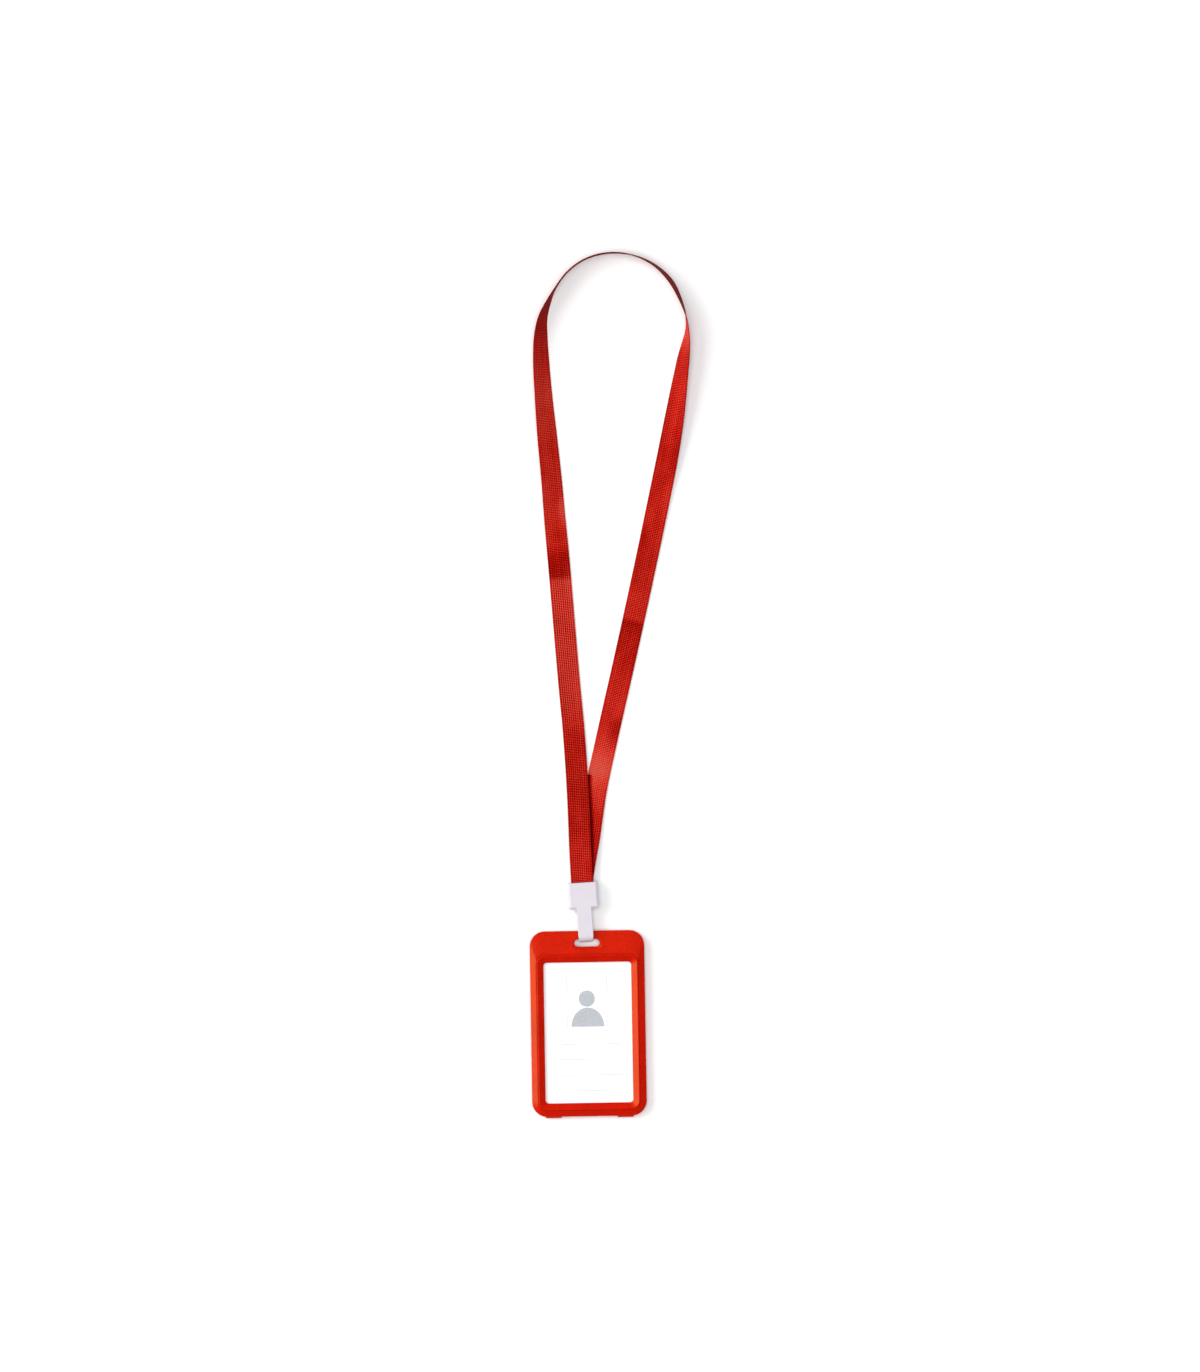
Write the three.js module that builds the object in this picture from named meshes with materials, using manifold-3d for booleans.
// A lanyard badge holder: a rigid card case with a slide-out tray, hanging by its header
// from a moulded clip, with a flat woven strap held in the clip's block.
// Millimetres, +Z up. The holder lies on its back, header towards +Y, with its origin
// under the middle of the case and clip.
import * as THREE from 'three';
import { mergeVertices } from 'three/addons/utils/BufferGeometryUtils.js';
import Module from 'manifold-3d';

const wasm = await Module();
wasm.setup();

// ---------------------------------------------------------------- driving dimensions
const card = { width: 54, height: 85.6, thick: 0.76, corner: 3.2 };
const shell = {
  width: 68, height: 110, corner: 9,          // outline of the case
  crestRise: 1.6, crestFall: 1.55,            // crest above the window's lip, edge below the crest
  sideBevel: 4.2, footBevel: 4, header: 14.5, // outline to crest: sides, bottom, top
  ridgeCorner: 5, crest: 0.4, edgeBreak: 0.4,
};
const view = { width: 52, height: 83.5, corner: 2, fromFoot: 7.9, lip: 1 };
const slot = { width: 15, height: 4.4, barWidth: 4.9, edgeBreak: 0.5 };
const header = { barThick: 2.1, notch: 17, wall: 1.6, fromRidge: 3 };
const pane = { thick: 0.3, margin: 1, overCard: 0.34 };
const tray = {
  thick: 1.35, rest: 0.95, runner: 1.15, rim: 0.7, endWall: 2,
  footWidth: 9.3, footCentre: 21.35, footReach: 0.8, ribs: 5, ribWidth: 22, ribPitch: 2.4,
};
const slack = { slide: 0.3, fit: 0.1, turned: 0.3 }; // sliding, seated, and round turned pieces

const hook = {
  width: 8.6, tipWidth: 7.2, thick: 1.2, inner: 3, backLeg: 5, across: -0.5, turnDeg: 3,
};
const block = { width: 18.4, height: 15.6, fromPivot: 15.65, corner: 0.8, bevel: 1.2, backBreak: 0.5 };
const gate = { thick: 1, width: 6.6, knuckle: 1.3, tip: 3.4, pinRadius: 0.6, fromBlockFoot: 1.35, slotWidth: 2 };
const pin = { length: 12.4, slack: 0.15 };
const spring = { wire: 0.34, turns: 3 };
const strap = { width: 13, thick: 0.7, handGap: 0.06, grip: 10.3 };
const crimp = { thick: 0.3, length: 4.6, inset: 0.35 };

// ---------------------------------------------------------------- worked-out places
const half = { width: shell.width / 2, height: shell.height / 2 };
const viewBox = {
  left: -view.width / 2, right: view.width / 2,
  bottom: -half.height + view.fromFoot, top: -half.height + view.fromFoot + view.height,
};
const viewMiddle = (viewBox.bottom + viewBox.top) / 2;
const ridgeBox = {
  left: -half.width + shell.sideBevel, right: half.width - shell.sideBevel,
  bottom: -half.height + shell.footBevel, top: half.height - shell.header,
};
const pocket = {
  halfWidth: card.width / 2 + pane.margin + slack.slide,
  halfHeight: card.height / 2 + pane.margin + slack.slide,
};
const trayTop = tray.rest + tray.thick;
const cardBase = trayTop + slack.fit;
const paneBase = cardBase + card.thick + pane.overCard;
const railUnderside = paneBase - slack.fit;
const lipUnderside = paneBase + pane.thick + slack.fit;
const lipTop = lipUnderside + view.lip;
const ridgeHeight = lipTop + shell.crestRise;
const edgeHeight = ridgeHeight - shell.crestFall;
const trayEnd = ridgeBox.top - slack.slide; // the tray stops short of the header
const slotMiddle = half.height - slot.barWidth - slot.height / 2;
const pivot = { y: half.height - slot.barWidth / 2, z: hook.inner + hook.thick };
const hookOuter = hook.inner + hook.thick;
const headerUnderside = pivot.z - header.barThick / 2; // the bar lies in the middle of the hook
const blockTop = block.fromPivot + block.height;
const pinAt = { y: block.fromPivot + gate.fromBlockFoot, z: -(hook.inner - gate.knuckle + 0.2) };
const strapFoot = blockTop - strap.grip;

// Strap route from one end in the block, round the neck loop and back to the block:
// [x, y] from the middle of the case's bar, how far the band leans from flat (degrees; 90
// stands on its edge), and how far it is lifted off the surface.
const grip = { upper: pivot.z + strap.handGap / 2, lower: pivot.z - strap.handGap / 2 - strap.thick };
const route = [
  [-1.6, 20.9, 0, grip.upper], [-2.2, 30.9, 0, grip.upper], [-3.0, 50.4, 0, 3.0],
  [-3.5, 71.2, 0, 1.75], [-4.2, 92.0, 0, 1.15], [-5.8, 121.8, 0, 0.3], [-8.1, 151.4, 0, 0],
  [-13.0, 222.8, 4, 0], [-14.8, 246.5, 14, 0], [-16.4, 270.3, 22, 0],
  [-18.4, 294.1, 27, 0], [-20.2, 317.9, 37, 0], [-21.4, 340.5, 44, 0], [-21.4, 354.7, 53, 0],
  [-20.1, 366.0, 66, 0], [-17.1, 374.2, 77, 0], [-12.4, 383.6, 88, 0], [-5.6, 392.7, 90, 0],
  [3.8, 399.8, 90, 0], [15.0, 403.6, 90, 0], [26.9, 404.0, 91, 0], [38.4, 401.1, 94, 0],
  [48.3, 395.3, 98, 0], [56.4, 386.7, 102, 0], [61.6, 376.4, 98, 0], [64.8, 366.3, 91, 0],
  [65.5, 358.0, 82, 0], [64.7, 350.5, 70, 0], [63.1, 341.4, 58, 0], [60.9, 328.4, 48, 0],
  [56.9, 304.7, 29, 0], [52.3, 281.1, 14, 0], [47.1, 257.4, 4, 0], [36.4, 210.1, 0, 0],
  [25.2, 162.8, 0, 0], [13.7, 115.5, 0, 0], [6.9, 85.7, 0, 0.1], [2.7, 59.7, 0, 1.1],
  [-2.2, 30.9, 0, grip.lower], [-1.6, 20.9, 0, grip.lower],
];

// ---------------------------------------------------------------- geometry helpers
function solidOf(geometry) {
  const bare = geometry.clone();
  bare.deleteAttribute('normal');
  bare.deleteAttribute('uv');
  const merged = mergeVertices(bare, 1e-4);
  return new wasm.Manifold(new wasm.Mesh({
    numProp: 3,
    vertProperties: new Float32Array(merged.attributes.position.array),
    triVerts: new Uint32Array(merged.index.array),
  }));
}

function geometryOf(solid) {
  const mesh = solid.getMesh();
  const geometry = new THREE.BufferGeometry();
  geometry.setAttribute('position', new THREE.BufferAttribute(mesh.vertProperties, 3));
  geometry.setIndex(new THREE.BufferAttribute(mesh.triVerts, 1));
  return geometry;
}

const cut = (base, cutters) => cutters.reduce((left, cutter) => left.subtract(cutter), base);

// A closed skin over rings of points that run anticlockwise about the way they are stacked.
function loft(rings) {
  const count = rings[0].length;
  const corners = rings.flat().flatMap((point) => point.toArray());
  const faces = [];
  for (let level = 0; level < rings.length - 1; level += 1) {
    for (let i = 0; i < count; i += 1) {
      const a = level * count + i;
      const b = level * count + ((i + 1) % count);
      faces.push(a, b, b + count, a, b + count, a + count);
    }
  }
  const last = (rings.length - 1) * count;
  for (let i = 1; i < count - 1; i += 1) {
    faces.push(0, i + 1, i, last, last + i, last + i + 1);
  }
  const geometry = new THREE.BufferGeometry();
  geometry.setAttribute('position', new THREE.Float32BufferAttribute(corners, 3));
  geometry.setIndex(faces);
  return geometry;
}

// A level ring round a rectangle with round corners.
function ring({ left, right, bottom, top }, corner, z, steps = 8) {
  const centres = [
    [right - corner, bottom + corner, -0.5], [right - corner, top - corner, 0],
    [left + corner, top - corner, 0.5], [left + corner, bottom + corner, 1],
  ];
  return centres.flatMap(([x, y, start]) => Array.from({ length: steps + 1 }, (_, i) => {
    const angle = Math.PI * (start + i / steps / 2);
    return new THREE.Vector3(x + corner * Math.cos(angle), y + corner * Math.sin(angle), z);
  }));
}

const inset = (box, by) => ({
  left: box.left + by, right: box.right - by, bottom: box.bottom + by, top: box.top - by,
});

const slab = (x0, x1, y0, y1, z0, z1) => solidOf(
  new THREE.BoxGeometry(x1 - x0, y1 - y0, z1 - z0)
    .translate((x0 + x1) / 2, (y0 + y1) / 2, (z0 + z1) / 2),
);

// An outline drawn in Y and Z, run across X.
function acrossX(shape, width) {
  const run = new THREE.ExtrudeGeometry(shape, { depth: width, bevelEnabled: false, curveSegments: 14 });
  const turn = new THREE.Matrix4().makeBasis(
    new THREE.Vector3(0, 1, 0), new THREE.Vector3(0, 0, 1), new THREE.Vector3(1, 0, 0),
  );
  return solidOf(run.applyMatrix4(turn).translate(-width / 2, 0, 0));
}

function rodX(radius, length, y, z) {
  return new THREE.CylinderGeometry(radius, radius, length, 24).rotateZ(Math.PI / 2).translate(0, y, z);
}

// ---------------------------------------------------------------- case
const outline = {
  left: -half.width, right: half.width, bottom: -half.height, top: half.height,
};

function outerShell() {
  const soft = shell.edgeBreak;
  const tight = shell.corner - soft;
  return solidOf(loft([
    ring(inset(outline, soft), tight, 0),
    ring(outline, shell.corner, soft),
    ring(outline, shell.corner, edgeHeight - soft),
    ring(inset(outline, soft), tight, edgeHeight),
    ring(ridgeBox, shell.ridgeCorner, ridgeHeight),
  ]));
}

function windowDish() {
  const crestBox = inset(ridgeBox, shell.crest);
  return solidOf(loft([
    ring(viewBox, view.corner, -1),
    ring(viewBox, view.corner, lipTop),
    ring(crestBox, shell.ridgeCorner - shell.crest, ridgeHeight),
    ring(crestBox, shell.ridgeCorner - shell.crest, ridgeHeight + 1),
  ]));
}

function stadium(grow, z) {
  const box = {
    left: -slot.width / 2 - grow, right: slot.width / 2 + grow,
    bottom: slotMiddle - slot.height / 2 - grow, top: slotMiddle + slot.height / 2 + grow,
  };
  return ring(box, slot.height / 2 + grow, z);
}

// The strap slot with both of its edges broken, so that the bar above it turns in the hook.
function slotCut() {
  const barTop = edgeHeight
    + (ridgeHeight - edgeHeight) * (slot.barWidth / shell.header);
  return solidOf(loft([
    stadium(slot.edgeBreak + 0.5, headerUnderside - 0.5),
    stadium(0, headerUnderside + slot.edgeBreak),
    stadium(0, barTop - slot.edgeBreak),
    stadium(slot.edgeBreak + 0.5, barTop + 0.5),
  ]));
}

function frontFrame() {
  const beyond = half.height + 5;
  const headerFoot = ridgeBox.top + header.fromRidge;
  const grooveReach = pocket.halfWidth + tray.runner + slack.slide;
  const mouth = pocket.halfWidth - tray.rim + slack.fit;
  const trayRoof = trayTop + slack.slide / 2;
  const trayFloor = tray.rest - slack.slide / 2;
  const headerSide = half.width - shell.corner / 2;
  const cuts = [
    windowDish(),
    slotCut(),
    slab(-mouth, mouth, -beyond, trayEnd + slack.slide, -1, trayRoof),
    slab(-grooveReach, grooveReach, -beyond, trayEnd + slack.slide, trayFloor, trayRoof),
    slab(-pocket.halfWidth, pocket.halfWidth, -beyond, trayEnd + slack.slide, trayFloor, railUnderside),
    slab(
      -pocket.halfWidth, pocket.halfWidth,
      viewMiddle - pocket.halfHeight, viewMiddle + pocket.halfHeight, trayFloor, lipUnderside,
    ),
    slab(-header.notch / 2, header.notch / 2, headerFoot, beyond, -1, headerUnderside),
  ];
  for (const side of [-1, 1]) {
    const near = side * (header.notch / 2 + header.wall);
    const far = side * (headerSide - header.wall);
    cuts.push(slab(
      Math.min(near, far), Math.max(near, far),
      headerFoot, half.height - header.wall - shell.edgeBreak, -1, headerUnderside,
    ));
  }
  return cut(outerShell(), cuts);
}

function frontWindow() {
  return solidOf(loft([paneBase, paneBase + pane.thick].map((z) => ring({
    left: -pocket.halfWidth + slack.slide, right: pocket.halfWidth - slack.slide,
    bottom: viewMiddle - pocket.halfHeight + slack.slide,
    top: viewMiddle + pocket.halfHeight - slack.slide,
  }, 1, z, 3))));
}

function idCard() {
  const edge = {
    left: -card.width / 2, right: card.width / 2,
    bottom: viewMiddle - card.height / 2, top: viewMiddle + card.height / 2,
  };
  return solidOf(loft([cardBase, cardBase + card.thick].map((z) => ring(edge, card.corner, z, 5))));
}

function backCover() {
  const plateReach = pocket.halfWidth + tray.runner;
  const wallReach = pocket.halfWidth - tray.rim - slack.slide + slack.fit;
  const foot = -half.height;
  const rimTop = railUnderside - slack.fit;
  const outer = solidOf(loft([0, railUnderside].map((z) => ring(outline, shell.corner, z))));
  let solid = slab(-plateReach, plateReach, foot, trayEnd, tray.rest, trayTop)
    .add(slab(-wallReach, wallReach, foot, foot + tray.endWall, 0, rimTop));
  for (const side of [-1, 1]) {
    const rimOuter = side * (pocket.halfWidth - slack.slide);
    const rimInner = rimOuter - side * (tray.rim - slack.slide);
    solid = solid.add(slab(
      Math.min(rimInner, rimOuter), Math.max(rimInner, rimOuter), foot, trayEnd, tray.rest, rimTop,
    ));
  }
  solid = solid.intersect(outer);
  for (const side of [-1, 1]) {
    const middle = side * tray.footCentre;
    solid = solid.add(slab(
      middle - tray.footWidth / 2, middle + tray.footWidth / 2,
      foot - tray.footReach, foot + tray.endWall, 0, rimTop,
    ));
  }
  for (let i = 0; i < tray.ribs; i += 1) {
    const y = foot + tray.endWall + tray.ribPitch * (i + 1);
    solid = solid.add(slab(-tray.ribWidth / 2, tray.ribWidth / 2, y, y + 1, tray.rest - 0.6, tray.rest + 0.1));
  }
  return solid;
}

// ---------------------------------------------------------------- clip, about the bar's middle
function blockBody(z0, z1, z2, topInset) {
  const box = { left: -block.width / 2, right: block.width / 2, bottom: block.fromPivot, top: blockTop };
  const bevel = Math.abs(z2 - z1);
  const face = inset(box, bevel);
  face.top = box.top - topInset;
  const rings = [ring(box, block.corner, z0, 3), ring(box, block.corner, z1, 3), ring(face, block.corner, z2, 3)];
  return solidOf(loft(z2 > z0 ? rings : rings.reverse()));
}

function hookBody() {
  const profile = new THREE.Shape();
  const root = block.fromPivot + block.bevel * 2;
  profile.moveTo(root, hookOuter);
  profile.lineTo(0, hookOuter);
  profile.absarc(0, 0, hookOuter, Math.PI / 2, Math.PI * 1.5, false);
  profile.lineTo(hook.backLeg - hook.thick / 2, -hookOuter);
  profile.quadraticCurveTo(hook.backLeg, -hookOuter, hook.backLeg, -hookOuter + hook.thick / 2);
  profile.lineTo(hook.backLeg, -hook.inner);
  profile.lineTo(0, -hook.inner);
  profile.absarc(0, 0, hook.inner, Math.PI * 1.5, Math.PI / 2, true);
  profile.lineTo(root, hook.inner);
  profile.closePath();

  const plan = new THREE.Shape();
  const side = hook.width / 2;
  const tip = hook.tipWidth / 2;
  plan.moveTo(side, root + 1);
  plan.lineTo(-side, root + 1);
  plan.lineTo(-side, -hook.inner / 2);
  plan.quadraticCurveTo(-side, -hook.inner, -tip, -hookOuter + 0.25);
  plan.quadraticCurveTo(0, -hookOuter - 0.25, tip, -hookOuter + 0.25);
  plan.quadraticCurveTo(side, -hook.inner, side, -hook.inner / 2);
  plan.closePath();
  const trim = new THREE.ExtrudeGeometry(plan, { depth: 2 * hookOuter + 2, bevelEnabled: false, curveSegments: 6 });
  return acrossX(profile, hook.width).intersect(solidOf(trim.translate(0, 0, -hookOuter - 1)));
}

// Room for the strap's two ends and the crimp round them, deeper where the crimp lies.
function strapRoom() {
  const reach = strap.width / 2 + slack.turned;
  const lips = strap.thick + strap.handGap / 2 + slack.turned;
  const deep = strap.thick + strap.handGap / 2 + crimp.thick + slack.fit + slack.turned;
  const foot = strapFoot - crimp.thick - 2 * slack.turned;
  return slab(-reach, reach, foot, blockTop + 1, -lips, lips)
    .add(slab(-reach, reach, foot, foot + crimp.length + 2 * slack.turned, -deep, deep));
}

function clipFrontShell() {
  const body = blockBody(slack.turned / 2, hookOuter - block.bevel, hookOuter, 0.3).add(hookBody());
  return body.subtract(strapRoom());
}

function clipBackShell() {
  const body = blockBody(-slack.turned / 2, -hookOuter + block.backBreak, -hookOuter, block.backBreak);
  const roomReach = gate.width / 2 + slack.turned;
  const roomTop = pinAt.y + gate.knuckle + 2 * slack.turned;
  const bore = solidOf(rodX(gate.pinRadius + pin.slack, pin.length + 2 * slack.turned, pinAt.y, pinAt.z));
  return cut(body, [
    strapRoom(),
    slab(
      -roomReach, roomReach, block.fromPivot - 1, roomTop,
      pinAt.z - gate.knuckle - slack.turned, 1,
    ),
    bore,
  ]);
}

function hookGate() {
  const outerFace = -hook.inner + slack.turned;
  const leaf = new THREE.Shape();
  leaf.moveTo(pinAt.y, outerFace);
  leaf.lineTo(pinAt.y, outerFace + gate.thick);
  leaf.lineTo(gate.tip + gate.thick / 2, outerFace + gate.thick);
  leaf.quadraticCurveTo(gate.tip, outerFace + gate.thick, gate.tip, outerFace + gate.thick / 2);
  leaf.lineTo(gate.tip, outerFace);
  leaf.closePath();
  const springGap = gate.slotWidth / 2;
  return acrossX(leaf, gate.width)
    .add(solidOf(rodX(gate.knuckle, gate.width, pinAt.y, pinAt.z)))
    .subtract(solidOf(rodX(gate.pinRadius + pin.slack, gate.width + 2, pinAt.y, pinAt.z)))
    .subtract(slab(
      -springGap, springGap, pinAt.y - gate.knuckle - slack.turned, pinAt.y + gate.knuckle + 1,
      -hookOuter, 1,
    ));
}

const gatePin = () => solidOf(rodX(gate.pinRadius, pin.length, pinAt.y, pinAt.z));

class Helix extends THREE.Curve {
  constructor(radius, length, turns) {
    super();
    Object.assign(this, { radius, length, turns });
  }

  getPoint(t, target = new THREE.Vector3()) {
    const angle = 2 * Math.PI * this.turns * t;
    return target.set(
      this.length * (t - 0.5), this.radius * Math.cos(angle), this.radius * Math.sin(angle),
    );
  }
}

function gateSpring() {
  const radius = gate.pinRadius + spring.wire / 2 + pin.slack;
  const coil = new Helix(radius, gate.slotWidth - 2 * slack.turned - spring.wire, spring.turns);
  const wire = new THREE.Shape().absarc(0, 0, spring.wire / 2, 0, 2 * Math.PI);
  return solidOf(new THREE.ExtrudeGeometry(wire, {
    steps: 16 * spring.turns, extrudePath: coil, curveSegments: 6, bevelEnabled: false,
  }).translate(0, pinAt.y, pinAt.z));
}

function strapCrimp() {
  const near = strap.thick + strap.handGap / 2 + slack.fit;
  const far = near + crimp.thick;
  const foot = strapFoot - slack.turned;
  const bend = new THREE.Shape();
  bend.moveTo(foot - crimp.thick, -far);
  bend.lineTo(foot + crimp.length - crimp.thick, -far);
  bend.lineTo(foot + crimp.length - crimp.thick, -near);
  bend.lineTo(foot, -near);
  bend.lineTo(foot, near);
  bend.lineTo(foot + crimp.length - crimp.thick, near);
  bend.lineTo(foot + crimp.length - crimp.thick, far);
  bend.lineTo(foot - crimp.thick, far);
  bend.closePath();
  return acrossX(bend, strap.width - 2 * crimp.inset);
}

// ---------------------------------------------------------------- strap
// A flat band whose section turns with the route's lean; its lower edge rides on the surface.
function ribbon() {
  const line = new THREE.CatmullRomCurve3(
    route.map(([x, y, , lift]) => new THREE.Vector3(x, y, lift)), false, 'centripetal',
  );
  const spans = route.length - 1;
  const rings = [];
  for (let i = 0; i <= 2 * spans; i += 1) {
    const t = i / (2 * spans);
    const step = Math.min(Math.floor(t * spans), spans - 1);
    const lean = THREE.MathUtils.degToRad(
      THREE.MathUtils.lerp(route[step][2], route[step + 1][2], t * spans - step),
    );
    const along = line.getTangent(t).setZ(0).normalize();
    const outward = new THREE.Vector3(-along.y, along.x, 0);
    const up = new THREE.Vector3(0, 0, 1);
    const across = outward.clone().multiplyScalar(Math.cos(lean)).addScaledVector(up, Math.sin(lean))
      .multiplyScalar(strap.width / 2);
    const through = outward.clone().multiplyScalar(-Math.sin(lean)).addScaledVector(up, Math.cos(lean))
      .multiplyScalar(strap.thick / 2);
    const centre = line.getPoint(t);
    centre.z = Math.max(centre.z, 0) + Math.abs(across.z) + Math.abs(through.z);
    rings.push([[1, -1], [1, 1], [-1, 1], [-1, -1]].map(
      ([w, n]) => centre.clone().addScaledVector(across, w).addScaledVector(through, n),
    ));
  }
  return solidOf(loft(rings));
}

// ---------------------------------------------------------------- assembly
function material(color, roughness, metalness = 0) {
  return new THREE.MeshStandardMaterial({ color, roughness, metalness });
}

const finish = {
  redPlastic: material(0xc81e08, 0.42),
  clearPlastic: material(0xf4f8fa, 0.08),
  cardStock: material(0xf7f7f5, 0.5),
  whitePlastic: material(0xe6e1ec, 0.38),
  steel: material(0xb9bcc0, 0.3, 1),
  wovenRed: material(0xb92a18, 0.75),
};

function piece(name, solid, look) {
  const mesh = new THREE.Mesh(geometryOf(solid), look);
  mesh.name = name;
  return mesh;
}

const caseGroup = new THREE.Group();
caseGroup.add(
  piece('front_frame', frontFrame(), finish.redPlastic),
  piece('front_window', frontWindow(), finish.clearPlastic),
  piece('id_card', idCard(), finish.cardStock),
  piece('back_cover', backCover(), finish.redPlastic),
);

const clipGroup = new THREE.Group();
clipGroup.position.set(hook.across, pivot.y, pivot.z);
clipGroup.rotation.z = THREE.MathUtils.degToRad(hook.turnDeg);
clipGroup.add(
  piece('clip_front_shell', clipFrontShell(), finish.whitePlastic),
  piece('clip_back_shell', clipBackShell(), finish.whitePlastic),
  piece('hook_gate', hookGate(), finish.whitePlastic),
  piece('gate_pin', gatePin(), finish.steel),
  piece('gate_spring', gateSpring(), finish.steel),
  piece('strap_crimp', strapCrimp(), finish.steel),
);

// The case and clip together stand with the middle of their box over the origin.
const holder = new THREE.Group();
holder.add(caseGroup, clipGroup);
const middle = new THREE.Box3().setFromObject(holder, true).getCenter(new THREE.Vector3());
const strapGroup = new THREE.Group();
strapGroup.position.y = pivot.y;
strapGroup.add(piece('lanyard_ribbon', ribbon(), finish.wovenRed));
holder.add(strapGroup);
holder.position.set(-middle.x, -middle.y, 0);

const assembly = new THREE.Group();
assembly.add(holder);
export default assembly;
